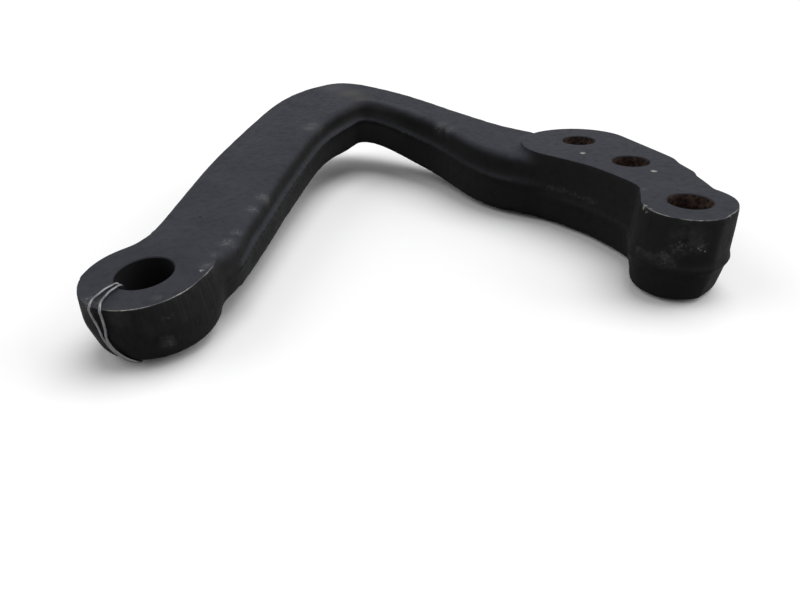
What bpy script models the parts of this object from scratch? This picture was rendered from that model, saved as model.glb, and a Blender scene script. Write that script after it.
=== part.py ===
# Steering spindle arm: one drop-forged steel arm, with a doubled tag wire round its eye.
# The frame: the origin lies on the machined pad face, midway between the two main
# bolt holes, with +Z out of the face and the two main holes on the Y axis.

import math

import bmesh
import bpy
from mathutils import Matrix, Vector

# Bolt pad
BOLT_HOLE = 0.0167
MAIN_PITCH = 0.0522
FAR_PITCH = 0.0405
FAR_TURN = 15.0
PAD_THICKNESS = 0.0353
NEAR_LOBE_RADIUS = 0.0175
NEAR_SIDE_RADIUS = 0.0194
NEAR_LOBE_SHIFT = 0.0016
SIDE_RADIUS = 0.0208
FAR_LOBE_RADIUS = 0.0280
FAR_LOBE_SHIFT = 0.0040
WAIST_WIDTH = 0.0120
PAD_EDGE_RADIUS = 0.0008
PAD_FOOT_RADIUS = 0.0030
PAD_STEP = 0.0025
PAD_PARTING_SHARE = 0.58
LOWER_DRAFT = 8.5
UPPER_DRAFT = 2.0
RIDGE_HEIGHT = 0.0009
RIDGE_WIDTH = 0.0030
LEG_RIDGE_HEIGHT = 0.0016
LEG_COVE = 0.0008

# Eye for the ball stud
EYE_X = -0.2087
EYE_Y = -0.0315
EYE_DROP = 0.0096
EYE_RADIUS = 0.0232
EYE_THICKNESS = 0.0252
EYE_PROUD = 0.0004
BORE_DIAMETER = 0.0217
BORE_TAPER = 1.0 / 8.0
EYE_EDGE_BEVEL = 0.0006
EYE_DRAFT = 8.0
EYE_PARTING_SHARE = 0.43
EYE_FOOT_RADIUS = 0.0050

# Arm between them
BEND_X = -0.1315
BEND_Y = 0.1810
ROOT_ACROSS = 0.0005
ROOT_BACK = 0.0112
LEG_SLOPE = 0.100
SECOND_LEG_SLOPE = 0.110
SLOPE_START = 0.0314
LEG_WIDTH = 0.0440
LEG_THICKNESS = 0.0250
BEND_WIDTH = 0.0520
BEND_THICKNESS = 0.0265
SECOND_LEG_WIDTH = 0.0320
SECOND_LEG_THICKNESS = 0.0332
ROOT_WIDTH = 0.0430
LEG_EDGE_RADIUS = 0.0042
LEG_FOOT_RADIUS = 0.0035
LEG_DRAFT = 4.0
LEG_PARTING_SHARE = 0.42

# Tag wire
WIRE_DIAMETER = 0.0010
WIRE_GAP = 0.0004

SECTIONS_PER_SPAN = 6
ROUND_SEGMENTS = 56
WIRE_SIDES = 2

EYE = Vector((EYE_X, EYE_Y, 0.0))
BEND = Vector((BEND_X, BEND_Y, 0.0))
NEAR_HOLE = Vector((0.0, -MAIN_PITCH / 2, 0.0))
MID_HOLE = Vector((0.0, MAIN_PITCH / 2, 0.0))
FAR_HOLE = MID_HOLE + FAR_PITCH * Vector(
    (-math.sin(math.radians(FAR_TURN)), math.cos(math.radians(FAR_TURN)), 0.0)
)
ROOT = FAR_HOLE + Vector((ROOT_ACROSS, -ROOT_BACK, 0.0))

# Stations of the forged arm, from the eye round the bend to the pad: how far along its
# leg each one lies, how far it bows out from the straight line, which way it faces
# (degrees from +Y towards +X), its width and its thickness.
FIRST_LEG = (
    (0.00, 0.000, 0, EYE_RADIUS * 1.75, EYE_THICKNESS * 0.85),
    (0.15, -0.001, 9, LEG_WIDTH * 0.93, EYE_THICKNESS * 0.88),
    (0.44, 0.010, 8, LEG_WIDTH, LEG_THICKNESS),
    (0.71, 0.016, 18, LEG_WIDTH * 1.03, LEG_THICKNESS * 1.04),
    (0.89, 0.014, 43, BEND_WIDTH, BEND_THICKNESS * 1.06),
    (1.00, 0.000, 74, BEND_WIDTH, BEND_THICKNESS * 1.02),
)
SECOND_LEG = (
    (0.145, 0.0085, 93, SECOND_LEG_WIDTH * 1.18, BEND_THICKNESS * 1.08),
    (0.435, 0.0051, 117, SECOND_LEG_WIDTH, SECOND_LEG_THICKNESS),
    (0.661, -0.0038, 114, ROOT_WIDTH * 1.05, SECOND_LEG_THICKNESS * 0.98),
    (0.840, -0.0030, 118, ROOT_WIDTH * 1.12, SECOND_LEG_THICKNESS * 0.96),
    (1.000, 0.000, 122, ROOT_WIDTH * 0.97, SECOND_LEG_THICKNESS * 0.96),
)


def clear_scene():
    for old in list(bpy.data.objects):
        bpy.data.objects.remove(old, do_unlink=True)


def new_collection(name):
    collection = bpy.data.collections.new(name)
    bpy.context.scene.collection.children.link(collection)
    return collection


def make_material(name, colour, roughness, metallic):
    material = bpy.data.materials.new(name)
    material.use_nodes = True
    shader = material.node_tree.nodes["Principled BSDF"]
    shader.inputs["Base Color"].default_value = (*colour, 1.0)
    shader.inputs["Roughness"].default_value = roughness
    shader.inputs["Metallic"].default_value = metallic
    material.diffuse_color = (*colour, 1.0)
    return material


def object_from_bmesh(name, shape, collection):
    bmesh.ops.recalc_face_normals(shape, faces=shape.faces)
    mesh = bpy.data.meshes.new(name)
    shape.to_mesh(mesh)
    shape.free()
    made = bpy.data.objects.new(name, mesh)
    collection.objects.link(made)
    return made


def loft(name, rings, collection):
    """Closed body through rings of equally many points, capped at both ends."""
    shape = bmesh.new()
    rows = [[shape.verts.new(point) for point in ring] for ring in rings]
    count = len(rings[0])
    for lower, upper in zip(rows, rows[1:]):
        for i in range(count):
            j = (i + 1) % count
            shape.faces.new((lower[i], lower[j], upper[j], upper[i]))
    shape.faces.new(rows[0])
    shape.faces.new(rows[-1])
    bmesh.ops.triangulate(shape, faces=shape.faces)
    return object_from_bmesh(name, shape, collection)


def through(values, position):
    """Smooth curve through a list of values, at a position counted in spans."""
    last = len(values) - 1
    i = min(int(position), last - 1)
    t = position - i
    a = values[max(i - 1, 0)]
    b = values[i]
    c = values[i + 1]
    d = values[min(i + 2, last)]
    return b + ((c - a) * t + (2 * a - 5 * b + 4 * c - d) * t**2 + (3 * b - a - 3 * c + d) * t**3) / 2


def soft_ramp(value, soft):
    """Zero below zero and the value itself above, with a soft turn between them."""
    return soft * math.log(1 + math.exp(value / soft))


def top_height(place):
    """Top face of the arm: two gently sloped planes that meet softly at the bend."""
    first = -EYE_DROP - EYE_PROUD + LEG_SLOPE * (place.y - EYE_Y)
    back = (FAR_HOLE - place).x + (place - FAR_HOLE).y
    rise = soft_ramp(math.sqrt(0.5) * back - SLOPE_START, 0.006)
    second = -PAD_STEP + SECOND_LEG_SLOPE * rise
    return first - soft_ramp(first - second, 0.0012)


def stations():
    """Middle, facing, width and thickness of each station along both legs."""
    rows = []
    for start, end, leg in ((EYE, BEND, FIRST_LEG), (BEND, ROOT, SECOND_LEG)):
        along = end - start
        outward = Vector((-along.y, along.x, 0.0)).normalized()
        for share, bow, facing, width, thickness in leg:
            middle = start + along * share + outward * bow
            rows.append((middle, facing, width, thickness))
    return rows


def arc(start_angle, end_angle, steps):
    return [math.radians(start_angle + (end_angle - start_angle) * i / steps) for i in range(steps + 1)]


def side_profile(thickness, edge, foot, parting, draft_up, draft_down, ridge, cove):
    """One side wall: offset outward from the top corner, and depth below the top."""
    split = thickness * parting
    flare = (split - edge) * math.tan(math.radians(draft_up))
    points = [(edge * (math.sin(a) - 1), edge * (1 - math.cos(a))) for a in arc(0, 90, 4)]
    half = RIDGE_WIDTH / 2
    if cove:
        points.append((flare * 0.3 - cove, (edge + split - half) / 2))
    points.append((flare * 0.85 - cove * 0.6, split - half))
    points.append((flare + ridge, split - half * 0.35))
    points.append((flare + ridge, split + half * 0.35))
    points.append((flare * 0.85, split + half))
    taper = (thickness - foot - split) * math.tan(math.radians(draft_down))
    bottom = flare - taper
    points += [
        (bottom - foot * (1 - math.cos(a)), thickness - foot + foot * math.sin(a)) for a in arc(0, 90, 3)
    ]
    return points


def arm_section(middle, facing, width, thickness):
    """Ring round the arm in an upright plane, top face first."""
    turn = math.radians(facing)
    outward = Vector((-math.cos(turn), math.sin(turn), 0.0))
    profile = side_profile(
        thickness,
        LEG_EDGE_RADIUS,
        LEG_FOOT_RADIUS,
        LEG_PARTING_SHARE,
        LEG_DRAFT,
        LEG_DRAFT + UPPER_DRAFT,
        LEG_RIDGE_HEIGHT,
        LEG_COVE,
    )
    ring = []
    for side, points in ((1, profile), (-1, reversed(profile))):
        for offset, depth in points:
            place = middle + outward * side * (width / 2 + offset)
            corner = middle + outward * side * (width / 2)
            ring.append(Vector((place.x, place.y, top_height(corner) - depth)))
    return ring


def make_arm(collection):
    rows = stations()
    columns = list(zip(*rows))
    spans = len(rows) - 1
    rings = []
    for step in range(spans * SECTIONS_PER_SPAN + 1):
        position = step / SECTIONS_PER_SPAN
        rings.append(arm_section(*(through(column, position) for column in columns)))
    return loft("steering_arm", rings, collection)


def lobe(centre, radius, start_angle, end_angle, steps):
    return [
        centre + radius * Vector((math.cos(a), math.sin(a), 0.0)) for a in arc(start_angle, end_angle, steps)
    ]


def pad_outline():
    """Outline of the bolt pad, counter-clockwise: lobes round the holes, and a waist."""
    near_centre = NEAR_HOLE - NEAR_LOBE_SHIFT * Vector((1.0, 1.0, 0.0))
    side_centre = NEAR_HOLE - NEAR_LOBE_SHIFT * Vector((0.8, -1.3, 0.0))
    far_centre = FAR_HOLE + FAR_LOBE_SHIFT * Vector((-0.65, -0.75, 0.0))
    outline = lobe(near_centre, NEAR_LOBE_RADIUS, 165, 285, 17)
    outline += lobe(side_centre, NEAR_SIDE_RADIUS, -58, 26, 10)
    outline.append(Vector((SIDE_RADIUS * 0.82, -0.17 * MAIN_PITCH, 0.0)))
    outline.append(Vector((SIDE_RADIUS * 0.86, 0.01 * MAIN_PITCH, 0.0)))
    outline.append(Vector((SIDE_RADIUS * 0.95, 0.10 * MAIN_PITCH, 0.0)))
    outline += lobe(MID_HOLE, SIDE_RADIUS, -20, 12, 5)
    outline += lobe(far_centre, FAR_LOBE_RADIUS, 16, 214, 26)
    shoulder = outline[-1]
    waist = Vector((-WAIST_WIDTH, -0.05 * MAIN_PITCH, 0.0))
    knee = waist + Vector((-0.17 * MAIN_PITCH, 0.50 * MAIN_PITCH, 0.0))
    neck = waist + Vector((-0.04 * MAIN_PITCH, -0.20 * MAIN_PITCH, 0.0))
    bends = [shoulder, knee, waist, neck, outline[0]]
    for step in range(1, 16):
        outline.append(through(bends, step / 4))
    return outline


def outward_normals(outline):
    count = len(outline)
    normals = []
    for i in range(count):
        along = outline[(i + 1) % count] - outline[i - 1]
        normals.append(Vector((along.y, -along.x, 0.0)).normalized())
    return normals


def make_pad(collection):
    outline = pad_outline()
    normals = outward_normals(outline)
    profile = side_profile(
        PAD_THICKNESS,
        PAD_EDGE_RADIUS,
        PAD_FOOT_RADIUS,
        PAD_PARTING_SHARE,
        UPPER_DRAFT,
        LOWER_DRAFT,
        RIDGE_HEIGHT,
        0.0,
    )
    rings = []
    for offset, depth in profile:
        rings.append([p + n * offset - Vector((0.0, 0.0, depth)) for p, n in zip(outline, normals)])
    return loft("pad_blank", rings, collection)


def eye_placement():
    """Matrix that tilts the eye with its leg and puts it at the end of the arm."""
    tilt = Matrix.Rotation(math.atan(LEG_SLOPE), 4, "X")
    return Matrix.Translation((EYE_X, EYE_Y, -EYE_DROP)) @ tilt


def turned(name, profile, collection):
    """Solid of revolution about Z from the (radius, height) pairs of its wall."""
    shape = bmesh.new()
    points = [shape.verts.new((radius, 0.0, height)) for radius, height in profile]
    edges = [shape.edges.new(pair) for pair in zip(points, points[1:])]
    bmesh.ops.spin(
        shape,
        geom=points + edges,
        cent=(0.0, 0.0, 0.0),
        axis=(0.0, 0.0, 1.0),
        angle=math.tau,
        steps=ROUND_SEGMENTS,
        use_merge=True,
    )
    bmesh.ops.holes_fill(shape, edges=shape.edges, sides=0)
    return object_from_bmesh(name, shape, collection)


def eye_wall(height):
    """Radius of the eye's outer wall at a height in the frame of the eye."""
    split = EYE_THICKNESS * EYE_PARTING_SHARE
    widest = EYE_RADIUS + split * math.tan(math.radians(EYE_DRAFT))
    return widest - abs(height + split) * math.tan(math.radians(EYE_DRAFT))


def make_eye(collection):
    bevel = EYE_EDGE_BEVEL
    foot = EYE_FOOT_RADIUS
    split = EYE_THICKNESS * EYE_PARTING_SHARE
    profile = [(EYE_RADIUS - bevel, 0.0), (eye_wall(-bevel), -bevel), (eye_wall(-split), -split)]
    profile += [
        (eye_wall(foot - EYE_THICKNESS) - foot * (1 - math.cos(a)), foot * (1 - math.sin(a)) - EYE_THICKNESS)
        for a in arc(0, 90, 4)
    ]
    eye = turned("eye_blank", profile, collection)
    eye.matrix_world = eye_placement()
    return eye


def make_bore(collection):
    """Tapered bore of the eye, wide end up, run on past both faces."""
    past = EYE_THICKNESS * 0.5
    top = BORE_DIAMETER / 2 + past * BORE_TAPER / 2
    depth = EYE_THICKNESS + 2 * past
    bottom = top - depth * BORE_TAPER / 2
    bore = turned("eye_bore", [(top, past), (bottom, past - depth)], collection)
    bore.matrix_world = eye_placement() @ Matrix.Rotation(math.pi / ROUND_SEGMENTS, 4, "Z")
    return bore


def make_bolt_hole(name, centre, collection):
    past = PAD_THICKNESS * 0.5
    radius = BOLT_HOLE / 2
    hole = turned(name, [(radius, past), (radius, -PAD_THICKNESS - past)], collection)
    hole.location = centre
    return hole


def boolean(target, other, operation):
    modifier = target.modifiers.new(other.name, "BOOLEAN")
    modifier.operation = operation
    modifier.solver = "EXACT"
    modifier.object = other
    other.hide_render = True
    other.display_type = "WIRE"


def wire_turn(in_bore, at_edge, half_way, at_foot, last_bore):
    """One turn of wire round the ring of the eye: up the bore, over and down the wall.

    The angles say where on the ring it passes, in degrees; the points are radius,
    angle and height in the frame of the eye.
    """
    lie = WIRE_DIAMETER / 2 + WIRE_GAP
    corner = lie * 0.8
    deep = -EYE_THICKNESS
    foot = EYE_FOOT_RADIUS
    split = deep * EYE_PARTING_SHARE
    bore_top = BORE_DIAMETER / 2
    bore_foot = bore_top + deep * BORE_TAPER / 2
    under = deep - lie * 1.05
    around_foot = (foot + lie) * math.sqrt(0.5)
    foot_radius = eye_wall(deep + foot) - foot
    return [
        (bore_foot - lie, in_bore, deep * 0.90),
        ((bore_foot + bore_top) / 2 - lie, in_bore, deep * 0.45),
        (bore_top - lie, in_bore, -lie * 1.5),
        (bore_top - corner, in_bore, corner),
        (bore_top + lie * 1.5, in_bore - 1, lie * 1.05),
        ((bore_top + EYE_RADIUS) / 2, (in_bore + at_edge) / 2 - 4, lie * 1.05),
        (EYE_RADIUS - lie * 2, at_edge - 1, lie * 1.05),
        (EYE_RADIUS + corner, at_edge, corner),
        (eye_wall(-lie * 1.5) + lie, at_edge, -lie * 1.5),
        (eye_wall(split) + lie, half_way, split),
        (eye_wall(deep + foot) + lie, (half_way + at_foot) / 2, deep + foot),
        (foot_radius + around_foot, at_foot, deep + foot - around_foot),
        (foot_radius, at_foot - 2, under),
        (bore_foot + lie * 1.5, last_bore + 3, under),
        (bore_foot - corner, last_bore, deep - corner),
        (bore_foot - lie, last_bore, deep + lie * 1.5),
    ]


def make_wire(collection):
    placement = eye_placement()
    route = wire_turn(-134, -119, -116, -101, -122) + wire_turn(-122, -110, -112, -97, -110)
    points = []
    for radius, degrees, height in route:
        a = math.radians(degrees)
        points.append(Vector((radius * math.cos(a), radius * math.sin(a), height)))
    spans = len(points) - 1
    curve = bpy.data.curves.new("tag_wire", "CURVE")
    curve.dimensions = "3D"
    curve.bevel_depth = WIRE_DIAMETER / 2
    curve.bevel_resolution = WIRE_SIDES
    curve.use_fill_caps = True
    spline = curve.splines.new("POLY")
    steps = spans * 3
    spline.points.add(steps)
    for i in range(steps + 1):
        spline.points[i].co = (*(placement @ through(points, i / 3)), 1.0)
    wire = bpy.data.objects.new("tag_wire", curve)
    collection.objects.link(wire)
    return wire


def main():
    clear_scene()
    parts = new_collection("steering_spindle_arm")
    cutters = new_collection("cutters")
    arm = make_arm(parts)
    boolean(arm, make_eye(cutters), "UNION")
    boolean(arm, make_pad(cutters), "UNION")
    boolean(arm, make_bore(cutters), "DIFFERENCE")
    for name, centre in (("near_hole", NEAR_HOLE), ("mid_hole", MID_HOLE), ("far_hole", FAR_HOLE)):
        boolean(arm, make_bolt_hole(name, centre, cutters), "DIFFERENCE")
    arm.data.materials.append(make_material("forged_steel", (0.048, 0.049, 0.055), 0.55, 0.35))
    wire = make_wire(parts)
    wire.data.materials.append(make_material("tag_wire_steel", (0.62, 0.62, 0.63), 0.30, 1.0))


main()
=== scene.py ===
import math

import bmesh
import bpy
from mathutils import Matrix, Vector, noise
from mathutils.bvhtree import BVHTree


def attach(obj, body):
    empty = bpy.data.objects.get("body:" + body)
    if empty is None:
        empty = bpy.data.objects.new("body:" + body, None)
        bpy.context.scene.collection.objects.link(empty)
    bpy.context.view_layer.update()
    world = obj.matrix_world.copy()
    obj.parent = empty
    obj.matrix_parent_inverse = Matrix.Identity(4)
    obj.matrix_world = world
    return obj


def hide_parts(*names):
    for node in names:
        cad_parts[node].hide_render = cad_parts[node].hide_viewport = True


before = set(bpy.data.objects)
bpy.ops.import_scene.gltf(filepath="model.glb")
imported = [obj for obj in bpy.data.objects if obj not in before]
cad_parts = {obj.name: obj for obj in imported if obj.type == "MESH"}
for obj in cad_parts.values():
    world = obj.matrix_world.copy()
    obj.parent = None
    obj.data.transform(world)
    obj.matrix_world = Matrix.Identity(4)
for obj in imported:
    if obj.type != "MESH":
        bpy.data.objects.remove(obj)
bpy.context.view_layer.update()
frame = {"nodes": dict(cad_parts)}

scene = bpy.context.scene
print("frame loaded:", ", ".join(frame["nodes"]))


def linear(hexColour):  # sRGB hex to the linear colour that the shader wants
    values = [int(hexColour[i : i + 2], 16) / 255 for i in (1, 3, 5)]
    return [v / 12.92 if v <= 0.04045 else ((v + 0.055) / 1.055) ** 2.4 for v in values] + [1.0]


def clamped(value):  # kept between 0 and 1
    return max(0.0, min(1.0, value))


def mergedCopy(nodeName):  # a CAD node's triangles, joined up again
    bm = bmesh.new()
    bm.from_mesh(frame["nodes"][nodeName].data)
    bmesh.ops.remove_doubles(bm, verts=bm.verts, dist=0.000001)
    return bm


def addObject(name, bm):
    mesh = bpy.data.meshes.new(name)
    bm.to_mesh(mesh)
    bm.free()
    obj = bpy.data.objects.new(name, mesh)
    scene.collection.objects.link(obj)
    return obj


def applied(obj):  # the object's mesh with its modifiers worked in, and the object gone
    graph = bpy.context.evaluated_depsgraph_get()
    bm = bmesh.new()
    bm.from_object(obj, graph)
    old = obj.data
    bpy.data.objects.remove(obj, do_unlink=True)
    bpy.data.meshes.remove(old)
    return bm


def turnedBody(bm, profile, place, segments=96):  # closed solid of revolution from (radius, height) pairs
    points = [bm.verts.new((radius, 0.0, height)) for radius, height in profile]
    edges = [bm.edges.new(pair) for pair in zip(points, points[1:])]
    bmesh.ops.spin(
        bm, geom=points + edges, cent=(0, 0, 0), axis=(0, 0, 1), angle=math.tau, steps=segments, use_merge=True
    )
    rims = [e for e in bm.edges if e.is_boundary]
    bmesh.ops.holes_fill(bm, edges=rims, sides=0)
    fresh = {v for e in rims for v in e.verts}
    reach = list(fresh)
    while reach:  # everything joined to the new rims belongs to this body
        for edge in reach.pop().link_edges:
            for v in edge.verts:
                if v not in fresh:
                    fresh.add(v)
                    reach.append(v)
    faces = [f for f in bm.faces if all(v in fresh for v in f.verts)]
    bmesh.ops.recalc_face_normals(bm, faces=faces)
    bmesh.ops.transform(bm, matrix=place, verts=list(fresh))


# forging

arm = {  # metres, unless a note says otherwise
    "holeRadius": 0.00835,
    "holes": [(0.0, -0.0261), (0.0, 0.0261), (-0.01048, 0.06522)],
    "padThickness": 0.0353,
    "padMiddle": (0.0, 0.03, 0.0),
    "padReach": 0.09,  # how far out from its middle the machined face is looked for
    "padRise": 0.004,
    "padLobe": (-0.01308, 0.06222, 0.0280),  # middle and radius of the big lobe
    "padSlab": ((-0.0075, 0.0235, 0.010), (0.075, 0.148, 0.020)),  # middle and size of what is milled off
    "eye": (-0.2087, -0.0315, -0.0096),
    "eyeSlope": 0.100,
    "eyeRadius": 0.0232,
    "eyeReach": 0.024,
    "eyeRise": 0.003,
    "eyeThickness": 0.0252,
    "eyeSlabHeight": 0.014,
    "boreRadius": 0.01085,
    "boreTaper": 1 / 16,
    "holePlug": (0.0012, 0.003, 0.0005),  # wider than the hole, proud of the face, short of the underside
    "borePlug": (0.0015, 0.0003, 0.002, 0.0005),  # wider at the top and at the foot, proud, short
    "brokenEdge": 0.0004,  # at the mouths of the holes and the bore
    "overshoot": 0.004,  # how far a drill stands out at each end
    "punchMarks": [(-0.0164, 0.0432), (0.0035, 0.0103)],
    "punchRadius": 0.0011,
    "punchShape": [(1.6, 0.6), (1.0, 0.0), (0.5, -0.45), (0.1, -0.6)],  # in punch radii
    "voxel": 0.0011,
    "skinRounds": 3,
    "relief": (-0.1130, 0.1500, -0.0020, 0.056),  # where the ridge stands out most: the inside of the bend
    "reliefGain": 2.3,
    "reliefRounds": 9,
    "neckZone": (-0.001, 0.010, 0.002),  # from and to, out from the eye's rim, and how far up the arm
    "neckRounds": 18,
    "footZone": (-0.003, 0.008),  # from and to, out from the big lobe
    "footCorner": (-0.006, 0.034, -0.0006),
    "footRounds": 14,
    "pushes": [  # (middle, radius, push): the neck swells out, and the inside of the bend is set back
        ((-0.1835, -0.0190, -0.0130), 0.024, (0.0031, -0.0019, 0.0)),
        ((-0.1165, 0.1580, 0.0085), 0.015, (-0.0004, 0.0024, 0.0)),
    ],
    "flush": 0.0012,  # how far the neck is lifted, so that it is cut level with the eye
    "flushFrom": -0.003,  # out from the eye's rim
    "flushHeights": (-0.0050, 0.001),
    "flushFade": 0.010,
    "neckReach": 0.036,  # radius to which the neck is machined with the eye
    "unevenness": 0.00014,  # how far the hammered skin wanders
    "unevenScale": 0.018,
    "unevenDetail": (2.7, 0.5),  # how much finer the second wave is, and how strong
    "calm": (0.030, 0.020),  # no wander this near the eye, and full wander that much further out
    "weld": 0.00008,  # points nearer than this are one
    "sliver": 0.00002,  # triangles narrower than this go
    "wallSlack": 0.0003,  # faces this near a drilled wall take its finish
    "mouthSlack": 0.001,
    "wallTilt": 0.3,  # how far a drilled wall may lean, as the height of its normal
    "sharpAngle": 40,  # degrees
}

eyePlace = Matrix.Translation(arm["eye"]) @ Matrix.Rotation(math.atan(arm["eyeSlope"]), 4, "X")
eyeFrame = eyePlace.inverted()
eyeUp = (eyePlace.to_3x3() @ Vector((0, 0, 1))).normalized()


def raiseFace(bm, up, middle, reach, rise):  # a machined face starts too high, and is cut flat later
    top = [
        f
        for f in bm.faces
        if f.normal.dot(up) > 0.9999
        and abs((f.calc_center_median() - middle).dot(up)) < 0.00005
        and (f.calc_center_median() - middle).length < reach
    ]
    raised = bmesh.ops.extrude_face_region(bm, geom=top)
    moved = [v for v in raised["geom"] if isinstance(v, bmesh.types.BMVert)]
    bmesh.ops.translate(bm, verts=moved, vec=up * rise)
    bmesh.ops.delete(bm, geom=[f for f in top if f.is_valid], context="FACES")
    print("raised face:", len(top), "triangles")


blank = mergedCopy("steering_arm")
blank.normal_update()
raiseFace(blank, Vector((0, 0, 1)), Vector(arm["padMiddle"]), arm["padReach"], arm["padRise"])
raiseFace(blank, eyeUp, Vector(arm["eye"]), arm["eyeReach"], arm["eyeRise"])

plugs = bmesh.new()  # holes are plugged and drilled again, so that their rims are clean
wider, proud, short = arm["holePlug"]
plugProfile = [(arm["holeRadius"] + wider, proud), (arm["holeRadius"] + wider, short - arm["padThickness"])]
for x, y in arm["holes"]:
    turnedBody(plugs, plugProfile, Matrix.Translation((x, y, 0)))
top, foot, proud, short = arm["borePlug"]
plugProfile = [(arm["boreRadius"] + top, proud), (arm["boreRadius"] + foot, short - arm["eyeThickness"])]
turnedBody(plugs, plugProfile, eyePlace)
plugMesh = bpy.data.meshes.new("plugs")
plugs.to_mesh(plugMesh)
plugs.free()
blank.from_mesh(plugMesh)
bpy.data.meshes.remove(plugMesh)

skin = addObject("skin", blank)
remesh = skin.modifiers.new("remesh", "REMESH")
remesh.mode = "VOXEL"
remesh.voxel_size = arm["voxel"]
body = applied(skin)
print("skin:", len(body.faces), "faces")


def smoothed(verts, rounds):
    for _ in range(rounds):
        bmesh.ops.smooth_vert(body, verts=verts, factor=0.5, use_axis_x=True, use_axis_y=True, use_axis_z=True)


def nearNeck(co):
    start, end, side = arm["neckZone"]
    local = eyeFrame @ co
    away = math.hypot(local.x, local.y) - arm["eyeRadius"]
    return start < away < end and local.y > side


def nearPadFoot(co):
    x, y, radius = arm["padLobe"]
    away = math.hypot(co.x - x, co.y - y) - radius
    start, end = arm["footZone"]
    east, south, top = arm["footCorner"]
    return start < away < end and co.x < east and co.y > south and co.z < top


def liftNeck(v):
    local = eyeFrame @ v.co
    around = math.hypot(local.x, local.y)
    low, high = arm["flushHeights"]
    if local.y > 0 and around > arm["eyeRadius"] + arm["flushFrom"] and low < local.z < high:
        v.co += eyeUp * arm["flush"] * clamped((arm["neckReach"] - around) / arm["flushFade"])


smoothed(body.verts, arm["skinRounds"])
x, y, z, radius = arm["relief"]
ridged = [(v, v.co.copy(), (v.co - Vector((x, y, z))).length / radius) for v in body.verts]
ridged = [(v, at, away) for v, at, away in ridged if away < 1]
smoothed([v for v, at, away in ridged], arm["reliefRounds"])
for v, at, away in ridged:  # what the smoothing took off is added instead
    v.co = at + (at - v.co) * arm["reliefGain"] * (1 - away**2) ** 2
smoothed([v for v in body.verts if nearNeck(v.co)], arm["neckRounds"])
smoothed([v for v in body.verts if nearPadFoot(v.co)], arm["footRounds"])
for middle, radius, push in arm["pushes"]:
    for v in body.verts:
        near = 1 - ((v.co - Vector(middle)).length / radius) ** 2
        if near > 0:
            v.co += Vector(push) * near**2
for v in body.verts:
    liftNeck(v)
body.normal_update()
finer, weaker = arm["unevenDetail"]
for v in body.verts:
    at = v.co / arm["unevenScale"]
    wander = noise.noise(at) + weaker * noise.noise(at * finer)
    calm = clamped(((v.co - Vector(arm["eye"])).length - arm["calm"][0]) / arm["calm"][1])
    v.co += v.normal * wander * arm["unevenness"] * calm
print("skin smoothed")


def drillProfile(radius, depth, taper=0.0):
    cut = arm["brokenEdge"]
    over = arm["overshoot"]
    foot = radius - depth * taper
    return [
        (radius + cut + over, over),
        (radius + cut, 0.0),
        (radius - cut * taper, -cut),
        (foot + cut * taper, cut - depth),
        (foot + cut, -depth),
        (foot + cut + over, -depth - over),
    ]


slabs = bmesh.new()
middle, size = arm["padSlab"]
bmesh.ops.create_cube(slabs, size=1.0, matrix=Matrix.Translation(middle) @ Matrix.Diagonal((*size, 1)))
turnedBody(slabs, [(arm["neckReach"], arm["eyeSlabHeight"]), (arm["neckReach"], 0.0)], eyePlace)
drills = bmesh.new()
for x, y in arm["holes"]:
    turnedBody(drills, drillProfile(arm["holeRadius"], arm["padThickness"]), Matrix.Translation((x, y, 0)))
punchProfile = [(arm["punchRadius"] * out, arm["punchRadius"] * up) for out, up in arm["punchShape"]]
for x, y in arm["punchMarks"]:
    turnedBody(drills, punchProfile, Matrix.Translation((x, y, 0)), 24)
turnedBody(drills, drillProfile(arm["boreRadius"], arm["eyeThickness"], arm["boreTaper"]), eyePlace)

blankObj = addObject("arm_blank", body)
cutters = [addObject("slabs", slabs), addObject("drills", drills)]
for cutter in cutters:
    step = blankObj.modifiers.new(cutter.name, "BOOLEAN")
    step.operation = "DIFFERENCE"
    step.solver = "EXACT"
    step.object = cutter
body = applied(blankObj)
for cutter in cutters:
    bpy.data.objects.remove(cutter, do_unlink=True)
bmesh.ops.remove_doubles(body, verts=body.verts, dist=arm["weld"])
bmesh.ops.dissolve_degenerate(body, edges=body.edges, dist=arm["weld"])
bmesh.ops.triangulate(body, faces=[f for f in body.faces if len(f.verts) > 4])
bmesh.ops.dissolve_degenerate(body, edges=body.edges, dist=arm["sliver"])
body.normal_update()
print("forging machined:", len(body.faces), "faces")


def inHole(co):
    reach = arm["holeRadius"] + arm["wallSlack"]
    return any(math.hypot(co.x - x, co.y - y) < reach for x, y in arm["holes"])


def inBore(co):
    slack = arm["wallSlack"]
    local = eyeFrame @ co
    around = math.hypot(local.x, local.y)
    return around < arm["boreRadius"] + slack and -arm["eyeThickness"] - slack < local.z < arm["mouthSlack"]


for face in body.faces:
    face.smooth = True
    middle = face.calc_center_median()
    if abs(face.normal.z) < arm["wallTilt"] and inHole(middle):
        face.material_index = 1  # rusted
    elif abs(face.normal.dot(eyeUp)) < arm["wallTilt"] and inBore(middle):
        face.material_index = 2  # oiled
    else:
        face.material_index = 0  # painted

steeringArm = addObject("forged_arm", body)
steeringArm.data.set_sharp_from_angle(angle=math.radians(arm["sharpAngle"]))
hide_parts("steering_arm")
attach(steeringArm, "root")
print("forging placed")


# tag wire

wire = {
    "radius": 0.0005,
    "gap": 0.0004,  # off the forging, so that the two never touch
    "turns": [  # degrees round the eye: in the bore, at the rim, half-way down, at the foot, back in the bore
        (-134, -121, -115, -101.5, -122),
        (-123, -110, -112.2, -98.7, -110),
    ],
    "bow": 3,  # degrees that each strand bows out between the bore and the rim
    "underAt": 0.005,  # height of the last point on the wall above the underside
    "outside": 0.05,  # from here the eye's wall is looked for
}

armTree = BVHTree.FromPolygons(
    [v.co for v in steeringArm.data.vertices], [p.vertices for p in steeringArm.data.polygons]
)


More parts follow.
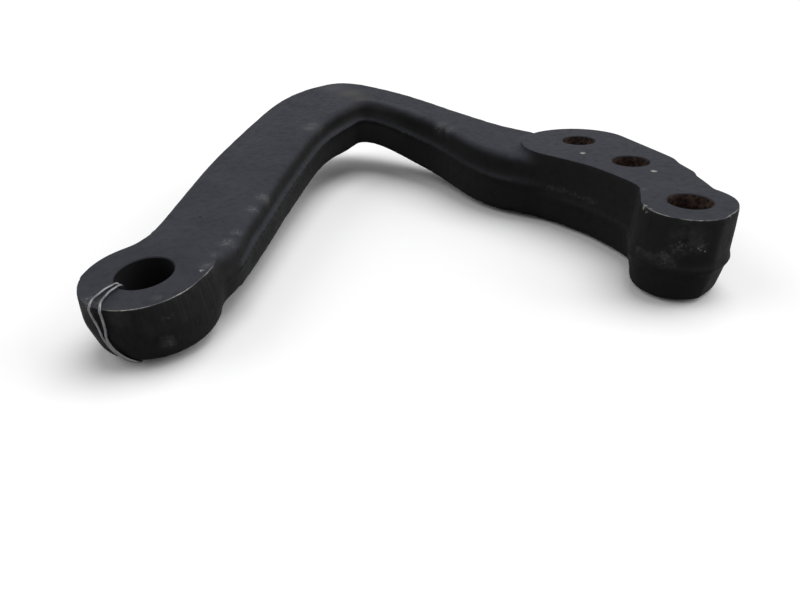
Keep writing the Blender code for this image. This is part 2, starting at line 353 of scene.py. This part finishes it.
def onWall(degrees, height):  # point of the eye's outer wall, with room for the wire
    out = Vector((math.cos(math.radians(degrees)), math.sin(math.radians(degrees)), 0))
    start = eyePlace @ (out * wire["outside"] + Vector((0, 0, height)))
    hit = armTree.ray_cast(start, eyePlace.to_3x3() @ -out)[0]
    return (eyeFrame @ hit).xy.length + wire["radius"] + wire["gap"], degrees, height


def wireTurn(inBore, atRim, halfWay, atFoot, lastBore):  # (radius, degrees, height) round the ring of the eye
    lie = wire["radius"] + wire["gap"]
    top = arm["boreRadius"]
    low = -arm["eyeThickness"]
    foot = top + low * arm["boreTaper"]
    rim = arm["eyeRadius"]
    edge = onWall((halfWay + atFoot) / 2, low + wire["underAt"])[0]
    return [
        (foot - lie, inBore, low * 0.90),  # up through the bore
        ((foot + top) / 2 - lie, inBore, low * 0.45),
        (top - lie, inBore, -lie * 1.5),
        (top - lie * 0.8, inBore, lie * 0.8),
        (top + lie * 1.5, inBore - 1, lie * 1.05),  # across the face
        ((top + rim) / 2, (inBore + atRim) / 2 - wire["bow"], lie * 1.3),
        (rim + lie * 0.8, atRim, lie * 0.7),
        onWall(atRim, -lie * 2),  # down the wall
        onWall((atRim + halfWay) / 2 + 1, low * 0.25),
        onWall(halfWay, low * 0.5),
        (edge, (halfWay + atFoot) / 2, low + wire["underAt"]),
        (edge - 0.0018, atFoot, low + wire["underAt"] * 0.3),
        (edge - 0.0055, atFoot - 2, low - lie * 0.75),  # back under the eye
        ((edge + foot) / 2, (atFoot + lastBore) / 2, low - lie * 0.9),
        (foot + lie * 1.5, lastBore + 3, low - lie * 0.9),
        (foot - lie * 0.8, lastBore, low - lie * 0.8),
        (foot - lie, lastBore, low + lie * 1.5),
    ]


line = bpy.data.curves.new("strand", "CURVE")
line.dimensions = "3D"
line.bevel_depth = wire["radius"]
line.bevel_resolution = 3
line.resolution_u = 8
line.use_fill_caps = True
route = [p for turn in wire["turns"] for p in wireTurn(*turn)]
spline = line.splines.new("BEZIER")
spline.bezier_points.add(len(route) - 1)
for point, (radius, degrees, height) in zip(spline.bezier_points, route):
    angle = math.radians(degrees)
    point.co = eyePlace @ Vector((radius * math.cos(angle), radius * math.sin(angle), height))
    point.handle_left_type = point.handle_right_type = "AUTO"
lineObj = bpy.data.objects.new("strand", line)
scene.collection.objects.link(lineObj)
bpy.context.view_layer.update()
tube = bmesh.new()
tube.from_mesh(lineObj.to_mesh())
bpy.data.objects.remove(lineObj, do_unlink=True)
bmesh.ops.remove_doubles(tube, verts=tube.verts, dist=0.000001)
bmesh.ops.recalc_face_normals(tube, faces=tube.faces)
for face in tube.faces:
    face.smooth = True
strand = addObject("doubled_tag_wire", tube)
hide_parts("tag_wire")
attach(strand, "root")
print("wire placed:", len(strand.data.polygons), "faces")


# materials


def node(tree, kind, settings=None, **links):  # a node with its settings, and its inputs joined up
    made = tree.nodes.new("ShaderNode" + kind)
    for name, value in (settings or {}).items():
        if isinstance(name, int) or name in made.inputs:
            made.inputs[name].default_value = value
        else:
            setattr(made, name, value)
    for name, source in links.items():  # _0 is the first input, where a name would not tell them apart
        socket = made.inputs[int(name[1:])] if name[1:].isdigit() else made.inputs[name]
        tree.links.new(source, socket)
    return made


def newMaterial(name):
    material = bpy.data.materials.new(name)
    material.use_nodes = True
    tree = material.node_tree
    return material, tree, tree.nodes["Principled BSDF"]


def scaleOf(millimetres):  # texture scale for a pattern of this size
    return 1000 / millimetres


def spotMask(tree, where, places):  # 1 at the middle of each (x, y, z, radius), 0 at its radius
    mask = None
    for x, y, z, radius in places:
        away = node(tree, "VectorMath", {"operation": "DISTANCE", 1: (x, y, z)}, _0=where).outputs["Value"]
        fade = {"interpolation_type": "SMOOTHSTEP", "From Max": radius, "To Min": 1.0, "To Max": 0.0}
        one = node(tree, "MapRange", fade, Value=away).outputs[0]
        if mask is None:
            mask = one
        else:
            mask = node(tree, "Math", {"operation": "MAXIMUM"}, _0=mask, _1=one).outputs[0]
    return mask


coat = {
    "low": "#29292a",  # walls and undersides, painted darker as painted shade
    "top": "#35363b",  # faces that look up, painted lighter as painted light from above
    "pale": "#3b3c41",
    # rubbed paint, and also the painted highlight along the parting ridges of the pad and the boss
    "rubbedAndRidgeHighlight": "#58585a",
    # painted sheen on the walls inside the bend
    "bendSheen": "#3e3e3f",
    "earth": "#4a4745",
    "pit": "#0d0d0e",
    "ground": "#444446",
    "scuff": "#8a8a8c",
    "steel": "#b4b2ae",
    "specular": 0.012,
    "cloudMm": 22,
    "mottleMm": 3.5,
    "grainMm": 0.7,  # drawn a little coarser than the real skin, so that it shows
    "raggedMm": 2.5,
    "raggedBy": 0.0012,
    "grindMm": 0.9,  # between two grinding lines, drawn coarser than real ones
    "grindStretch": 0.06,
    "speckleMm": 0.9,
    "rimWidth": 0.0006,
    "rimWear": [  # rims where the paint is gone
        (-0.2075, -0.0540, -0.012, 0.014), (-0.1925, -0.0470, -0.011, 0.012), (-0.1865, -0.0340, -0.010, 0.007),
        (-0.0164, -0.0350, 0.0, 0.009), (-0.0060, -0.0430, 0.0, 0.011), (0.0085, -0.0405, 0.0, 0.009),
    ],
    "scuffed": [  # speckled by knocks
        (-0.1860, -0.0300, -0.010, 0.005), (-0.1850, -0.0220, -0.011, 0.005), (-0.1815, -0.0139, -0.009, 0.006),
        (-0.1792, -0.0049, -0.008, 0.004), (-0.1750, 0.0150, -0.006, 0.005), (-0.1715, 0.0270, -0.005, 0.007),
        (-0.1545, 0.1130, 0.004, 0.006), (-0.1531, 0.1199, 0.005, 0.005), (-0.0775, 0.1105, 0.001, 0.008),
        (-0.0740, 0.1020, 0.001, 0.007), (-0.0106, -0.0431, -0.011, 0.006), (-0.0044, -0.0452, -0.010, 0.005),
        (-0.0142, -0.0405, -0.016, 0.005), (-0.1990, -0.0515, -0.028, 0.004), (-0.2230, -0.0480, -0.012, 0.008),
    ],
    "worn": [  # broad rubbed patches
        (-0.0083, -0.0441, -0.0067, 0.010), (-0.0120, -0.0420, -0.0175, 0.003), (-0.1297, 0.1778, 0.0105, 0.012),
        (-0.1400, 0.1906, 0.0122, 0.016), (-0.1999, -0.0485, -0.0113, 0.003), (-0.1530, 0.1170, 0.0045, 0.010),
        (-0.0111, -0.0100, 0.0, 0.003),
    ],
    "curl": [  # a scratch on the wall of the eye
        (-0.1981 + 0.0005 * i, -0.0524 + 0.0003 * i, -0.0180 + 0.00008 * (i - 3) ** 2, 0.0009) for i in range(7)
    ],
    # painted highlight along the parting ridge on the side of the pad, and on the side of the boss
    "padRidgeHighlight": [(-0.0329 + 0.0012 * i, 0.0410 - 0.0019 * i, -0.0154, 0.0021) for i in range(14)],
    "bossRidgeHighlight": [(-0.0196 + 0.0005 * i, -0.0300 - 0.0014 * i, -0.0168, 0.0020) for i in range(7)],
    "bendSheenSpot": [(-0.1150, 0.1550, -0.0040, 0.034)],  # walls inside the bend, painted paler as painted sheen
    "dirty": [
        (-0.2123, -0.0542, -0.0150, 0.006), (-0.1290, 0.1770, 0.0105, 0.014), (-0.1230, 0.1670, 0.0095, 0.011),
        (-0.1990, -0.0515, -0.0281, 0.004),
    ],
    "chipped": [
        (-0.0186, -0.0275, 0.0, 0.0016), (-0.0180, -0.0300, -0.0008, 0.0014), (0.0063, -0.0419, -0.0002, 0.0009),
        (-0.1870, -0.0330, -0.0098, 0.0012), (-0.1862, -0.0270, -0.0102, 0.0010), (-0.0111, -0.0100, 0.0, 0.0007),
        (-0.0021, -0.0454, -0.0125, 0.0008), (-0.0045, -0.0452, -0.0118, 0.0007),
    ],
    "punched": [(x, y, -0.0003, 0.0019) for x, y in arm["punchMarks"]],
    "pitted": [
        (-0.1967, 0.0100, -0.0056, 0.0013), (-0.1950, 0.0070, -0.0058, 0.0010), (-0.1859, 0.0041, -0.0063, 0.0012),
    ],
    "groundEye": [(arm["eye"][0], arm["eye"][1], arm["eye"][2] - 0.010, 0.040)],
}

# Drop-forged steel under worn matt black paint: a dull charcoal skin, painted greyer where it looks up as painted
# light, bare along the rims.
paint, tree, shader = newMaterial("worn_black_paint_on_forged_steel")
where = node(tree, "TexCoord").outputs["Object"]
geometry = node(tree, "NewGeometry")
cloudy = {"Scale": scaleOf(coat["cloudMm"]), "Detail": 5.0, "Roughness": 0.62}
clouds = node(tree, "TexNoise", cloudy, Vector=where).outputs[0]
mottled = {"Scale": scaleOf(coat["mottleMm"]), "Detail": 4.0, "Roughness": 0.6}
mottle = node(tree, "TexNoise", mottled, Vector=where).outputs[0]
grainy = {"Scale": scaleOf(coat["grainMm"]), "Detail": 2.0, "Roughness": 0.6}
grain = node(tree, "TexNoise", grainy, Vector=where).outputs[0]
drifting = {"normalize": False, "Scale": scaleOf(coat["raggedMm"]), "Detail": 3.0}
drift = node(tree, "TexNoise", drifting, Vector=where).outputs["Color"]
shifted = {"operation": "MULTIPLY_ADD", 1: [coat["raggedBy"]] * 3}
ragged = node(tree, "VectorMath", shifted, _0=drift, _2=where).outputs[0]

# tone: walls painted darker as painted shade and tops lighter as painted light, a painted sheen inside the bend,
# painted highlights along the parting ridges, broad rubbed and earthy patches
upward = node(tree, "SeparateXYZ", Vector=geometry.outputs["Normal"]).outputs[2]
softly = {"interpolation_type": "SMOOTHSTEP", "From Min": 0.1, "From Max": 0.9}
facingUp = node(tree, "MapRange", softly, Value=upward).outputs[0]
sideways = node(tree, "Math", {"operation": "SUBTRACT", 0: 1.0}, _1=facingUp).outputs[0]
cloudPlaces = node(tree, "MapRange", {"From Min": 0.35, "From Max": 0.7}, Value=clouds).outputs[0]
# painted light and shade: faces that look up get the lighter colours, walls and undersides the darker one
litTopColours = {"data_type": "RGBA", 6: linear(coat["top"]), 7: linear(coat["pale"])}
litTopTone = node(tree, "Mix", litTopColours, _0=cloudPlaces).outputs[2]
shadedWallColour = {"data_type": "RGBA", 6: linear(coat["low"])}
tone = node(tree, "Mix", shadedWallColour, _0=facingUp, _7=litTopTone).outputs[2]
freckles = node(tree, "MapRange", {"From Min": 0.5, "From Max": 0.75}, Value=mottle).outputs[0]
darker = {"data_type": "RGBA", "blend_type": "MULTIPLY", 7: (0.8, 0.8, 0.81, 1)}
tone = node(tree, "Mix", darker, _0=freckles, _6=tone).outputs[2]
patchy = node(tree, "MapRange", {"From Min": 0.30, "From Max": 0.7, "To Max": 0.6}, Value=mottle).outputs[0]
# the rubbed colour also paints a highlight along the parting ridges of the pad and the boss
rubbedAndHighlightSpots = coat["worn"] + coat["curl"] + coat["padRidgeHighlight"] + coat["bossRidgeHighlight"] + coat["scuffed"]
wornAndHighlightPlaces = node(tree, "Math", {"operation": "MULTIPLY"}, _0=spotMask(tree, ragged, rubbedAndHighlightSpots), _1=patchy)
# painted sheen: the walls inside the bend are painted paler
bendSheenPlaces = node(tree, "Math", {"operation": "MULTIPLY"}, _0=spotMask(tree, where, coat["bendSheenSpot"]), _1=sideways)
dirtPlaces = node(tree, "Math", {"operation": "MULTIPLY"}, _0=spotMask(tree, ragged, coat["dirty"]), _1=mottle)
pitPlaces = node(tree, "Math", {"operation": "MULTIPLY", 1: 0.6}, _0=spotMask(tree, ragged, coat["pitted"]))

# grinding marks that run down the wall of the eye
stretched = {"operation": "MULTIPLY", 1: (1.0, 1.0, coat["grindStretch"])}
squeezed = node(tree, "VectorMath", stretched, _0=where).outputs[0]
lines = node(tree, "TexNoise", {"Scale": scaleOf(coat["grindMm"]), "Detail": 2.0}, Vector=squeezed).outputs[0]
lineTone = node(tree, "MapRange", {"From Min": 0.48, "From Max": 0.72, "To Max": 0.5}, Value=lines).outputs[0]
onEye = spotMask(tree, where, coat["groundEye"])
onEyeWall = node(tree, "Math", {"operation": "MULTIPLY"}, _0=onEye, _1=sideways).outputs[0]
linePlaces = node(tree, "Math", {"operation": "MULTIPLY"}, _0=onEyeWall, _1=lineTone)

# scuffs, chips and rims down to bare steel
speckled = {"Scale": scaleOf(coat["speckleMm"]), "Detail": 3.0, "Roughness": 0.75}
speckle = node(tree, "TexNoise", speckled, Vector=where).outputs[0]
scuffSpots = spotMask(tree, ragged, coat["scuffed"])
knocks = node(tree, "Math", {"operation": "MULTIPLY_ADD", 1: 0.26}, _0=scuffSpots, _2=speckle).outputs[0]
scuffPlaces = node(tree, "MapRange", {"From Min": 0.71, "From Max": 0.96, "To Max": 0.50}, Value=knocks)
bevel = node(tree, "Bevel", {"samples": 6, "Radius": coat["rimWidth"]}).outputs[0]
turn = node(tree, "VectorMath", {"operation": "DOT_PRODUCT"}, _0=bevel, _1=geometry.outputs["Normal"])
rim = node(tree, "MapRange", {"From Min": 0.995, "From Max": 0.93}, Value=turn.outputs["Value"]).outputs[0]
biting = {"operation": "MULTIPLY_ADD", "use_clamp": True, 1: 3.0, 2: -0.85}
bitten = node(tree, "Math", biting, _0=mottle).outputs[0]
brokenRim = node(tree, "Math", {"operation": "MULTIPLY"}, _0=rim, _1=bitten).outputs[0]
rimSpots = spotMask(tree, where, coat["rimWear"])
rimPlaces = node(tree, "Math", {"operation": "MULTIPLY"}, _0=brokenRim, _1=rimSpots).outputs[0]
chipSpots = spotMask(tree, ragged, coat["chipped"])
chips = node(tree, "Math", {"operation": "MULTIPLY"}, _0=chipSpots, _1=bitten).outputs[0]
wear = node(tree, "Math", {"operation": "MAXIMUM"}, _0=rimPlaces, _1=chips).outputs[0]
punched = spotMask(tree, where, coat["punched"])
barePlaces = node(tree, "Math", {"operation": "MAXIMUM", "use_clamp": True}, _0=wear, _1=punched)

for colour, places in (
    ("rubbedAndRidgeHighlight", wornAndHighlightPlaces),
    ("bendSheen", bendSheenPlaces),
    ("earth", dirtPlaces),
    ("pit", pitPlaces),
    ("ground", linePlaces),
    ("scuff", scuffPlaces),
    ("steel", barePlaces),
):  # each laid over the ones before it
    laid = {"data_type": "RGBA", 7: linear(coat[colour])}
    tone = node(tree, "Mix", laid, _0=places.outputs[0], _6=tone).outputs[2]
tree.links.new(tone, shader.inputs["Base Color"])
metal = node(tree, "Math", {"operation": "MULTIPLY", 1: 0.6}, _0=barePlaces.outputs[0]).outputs[0]
tree.links.new(metal, shader.inputs["Metallic"])
dull = {"From Min": 0.3, "From Max": 0.7, "To Min": 0.5, "To Max": 0.66}
rough = node(tree, "MapRange", dull, Value=mottle).outputs[0]
tree.links.new(rough, shader.inputs["Roughness"])
shader.inputs["Specular IOR Level"].default_value = coat["specular"]
pits = node(tree, "Bump", {"Strength": 0.3, "Distance": 0.0002}, Height=mottle).outputs[0]
scored = {"Strength": 0.4, "Distance": 0.0002}
scores = node(tree, "Bump", scored, Height=linePlaces.outputs[0], Normal=pits).outputs[0]
skinBump = node(tree, "Bump", {"Strength": 0.35, "Distance": 0.0001}, Height=grain, Normal=scores).outputs[0]
tree.links.new(skinBump, shader.inputs["Normal"])
steeringArm.data.materials.append(paint)
print("paint made")

rustFilm = {"dark": "#221b19", "light": "#604b43", "blotchMm": 2.2, "roughness": 0.85, "specular": 0.15}

# Drilled steel left bare: brown rust film, dull and speckled.
rust, tree, shader = newMaterial("rusted_drilled_steel")
where = node(tree, "TexCoord").outputs["Object"]
blotched = {"Scale": scaleOf(rustFilm["blotchMm"]), "Detail": 5.0, "Roughness": 0.7}
blotches = node(tree, "TexNoise", blotched, Vector=where).outputs[0]
rustPlaces = node(tree, "MapRange", {"From Min": 0.42, "From Max": 0.68}, Value=blotches).outputs[0]
rustColours = {"data_type": "RGBA", 6: linear(rustFilm["dark"]), 7: linear(rustFilm["light"])}
tone = node(tree, "Mix", rustColours, _0=rustPlaces).outputs[2]
tree.links.new(tone, shader.inputs["Base Color"])
shader.inputs["Roughness"].default_value = rustFilm["roughness"]
shader.inputs["Specular IOR Level"].default_value = rustFilm["specular"]
rustBump = node(tree, "Bump", {"Strength": 0.5, "Distance": 0.0002}, Height=blotches).outputs[0]
tree.links.new(rustBump, shader.inputs["Normal"])
steeringArm.data.materials.append(rust)

oilFilm = {"dark": "#101012", "light": "#1a1a1c", "ringMm": 1.6, "roughness": 0.6, "specular": 0.1}

# Reamed taper seat under old oil: nearly black, with faint turning marks round it.
oiled, tree, shader = newMaterial("oiled_taper_seat")
where = node(tree, "TexCoord").outputs["Object"]
turned = {"bands_direction": "Z", "Scale": scaleOf(oilFilm["ringMm"]), "Distortion": 1.5}
rings = node(tree, "TexWave", turned, Vector=where).outputs["Fac"]
oilColours = {"data_type": "RGBA", 6: linear(oilFilm["dark"]), 7: linear(oilFilm["light"])}
tone = node(tree, "Mix", oilColours, _0=rings).outputs[2]
tree.links.new(tone, shader.inputs["Base Color"])
shader.inputs["Roughness"].default_value = oilFilm["roughness"]
shader.inputs["Specular IOR Level"].default_value = oilFilm["specular"]
steeringArm.data.materials.append(oiled)

drawnSteel = {"dark": "#464648", "light": "#7a7a7c", "filmMm": 3, "roughness": 0.42}

# Bright drawn steel wire, gone a little dull: grey, with highlights where it bends.
bright, tree, shader = newMaterial("drawn_steel_wire")
where = node(tree, "TexCoord").outputs["Object"]
filmed = {"Scale": scaleOf(drawnSteel["filmMm"]), "Detail": 3.0}
film = node(tree, "TexNoise", filmed, Vector=where).outputs[0]
wireColours = {"data_type": "RGBA", 6: linear(drawnSteel["dark"]), 7: linear(drawnSteel["light"])}
tone = node(tree, "Mix", wireColours, _0=film).outputs[2]
tree.links.new(tone, shader.inputs["Base Color"])
shader.inputs["Metallic"].default_value = 1.0
shader.inputs["Roughness"].default_value = drawnSteel["roughness"]
strand.data.materials.append(bright)
print("materials made")


# studio

studio = {
    "floorAt": (-0.215, -0.040, -0.0386),
    "floorLean": 0.75,  # degrees, so that the floor meets both the eye and the boss
    "floorSize": 20.0,
    "floorColour": "#fcfcfc",
    "bounceColour": "#7c7c7c",  # what the floor gives back to the object
    "world": 0.30,
    "lamps": [  # name, strength, where the light comes from
        ("key", 1.80, (0.30, 0.22, 0.92)),
        ("side", 1.20, (0.92, 0.0, 0.38)),
        ("fill", 0.70, (-0.75, 0.20, 0.60)),
    ],
    "lampAngle": 50,
    "lens": 24.75,
    "cameraAt": (-0.12478, -0.21823, 0.08275),
    "heading": -3.12,
    "pitch": 58.8,
    "roll": -3.1,
}


def seenRay(tree):  # 1 for rays that show the background: straight, mirrored or through glass
    rays = node(tree, "LightPath").outputs
    shown = node(tree, "Math", {"operation": "MAXIMUM"}, _0=rays["Is Camera Ray"], _1=rays["Is Glossy Ray"])
    through = rays["Is Transmission Ray"]
    return node(tree, "Math", {"operation": "MAXIMUM"}, _0=shown.outputs[0], _1=through).outputs[0]


sheet = bmesh.new()
lean = Matrix.Rotation(math.radians(-studio["floorLean"]), 4, "Y")
floorPlace = Matrix.Translation(studio["floorAt"]) @ lean
bmesh.ops.create_grid(sheet, x_segments=1, y_segments=1, size=studio["floorSize"], matrix=floorPlace)
floor = addObject("floor", sheet)
# Matt white paper: shown nearly white, and dimmer to the rays that light the object.
pale, tree, shader = newMaterial("pale_paper_floor")
floorColours = {"data_type": "RGBA", 6: linear(studio["bounceColour"]), 7: linear(studio["floorColour"])}
shade = node(tree, "Mix", floorColours, _0=seenRay(tree))
tree.links.new(shade.outputs[2], shader.inputs["Base Color"])
shader.inputs["Roughness"].default_value = 1.0
shader.inputs["Specular IOR Level"].default_value = 0.0
floor.data.materials.append(pale)

world = bpy.data.worlds.new("studio")
scene.world = world
world.use_nodes = True
tree = world.node_tree
background = tree.nodes["Background"]
strength = node(tree, "MapRange", {"To Min": studio["world"], "To Max": 1.0}, Value=seenRay(tree))
tree.links.new(strength.outputs[0], background.inputs["Strength"])
background.inputs["Color"].default_value = (1, 1, 1, 1)

for name, energy, comesFrom in studio["lamps"]:
    lamp = bpy.data.lights.new(name, "SUN")
    lamp.energy = energy
    lamp.angle = math.radians(studio["lampAngle"])
    lampObj = bpy.data.objects.new(name, lamp)
    lampObj.rotation_euler = Vector(comesFrom).to_track_quat("Z", "Y").to_euler()
    scene.collection.objects.link(lampObj)

lens = bpy.data.cameras.new("camera")
lens.lens = studio["lens"]
lens.sensor_width = 36.0
lens.clip_start = 0.01
camera = bpy.data.objects.new("camera", lens)
heading = Matrix.Rotation(math.radians(studio["heading"]), 4, "Z")
pitch = Matrix.Rotation(math.radians(studio["pitch"]), 4, "X")
roll = Matrix.Rotation(math.radians(studio["roll"]), 4, "Z")
camera.matrix_world = Matrix.Translation(studio["cameraAt"]) @ heading @ pitch @ roll
scene.collection.objects.link(camera)
scene.camera = camera
scene.view_settings.view_transform = "Standard"
print("studio set")
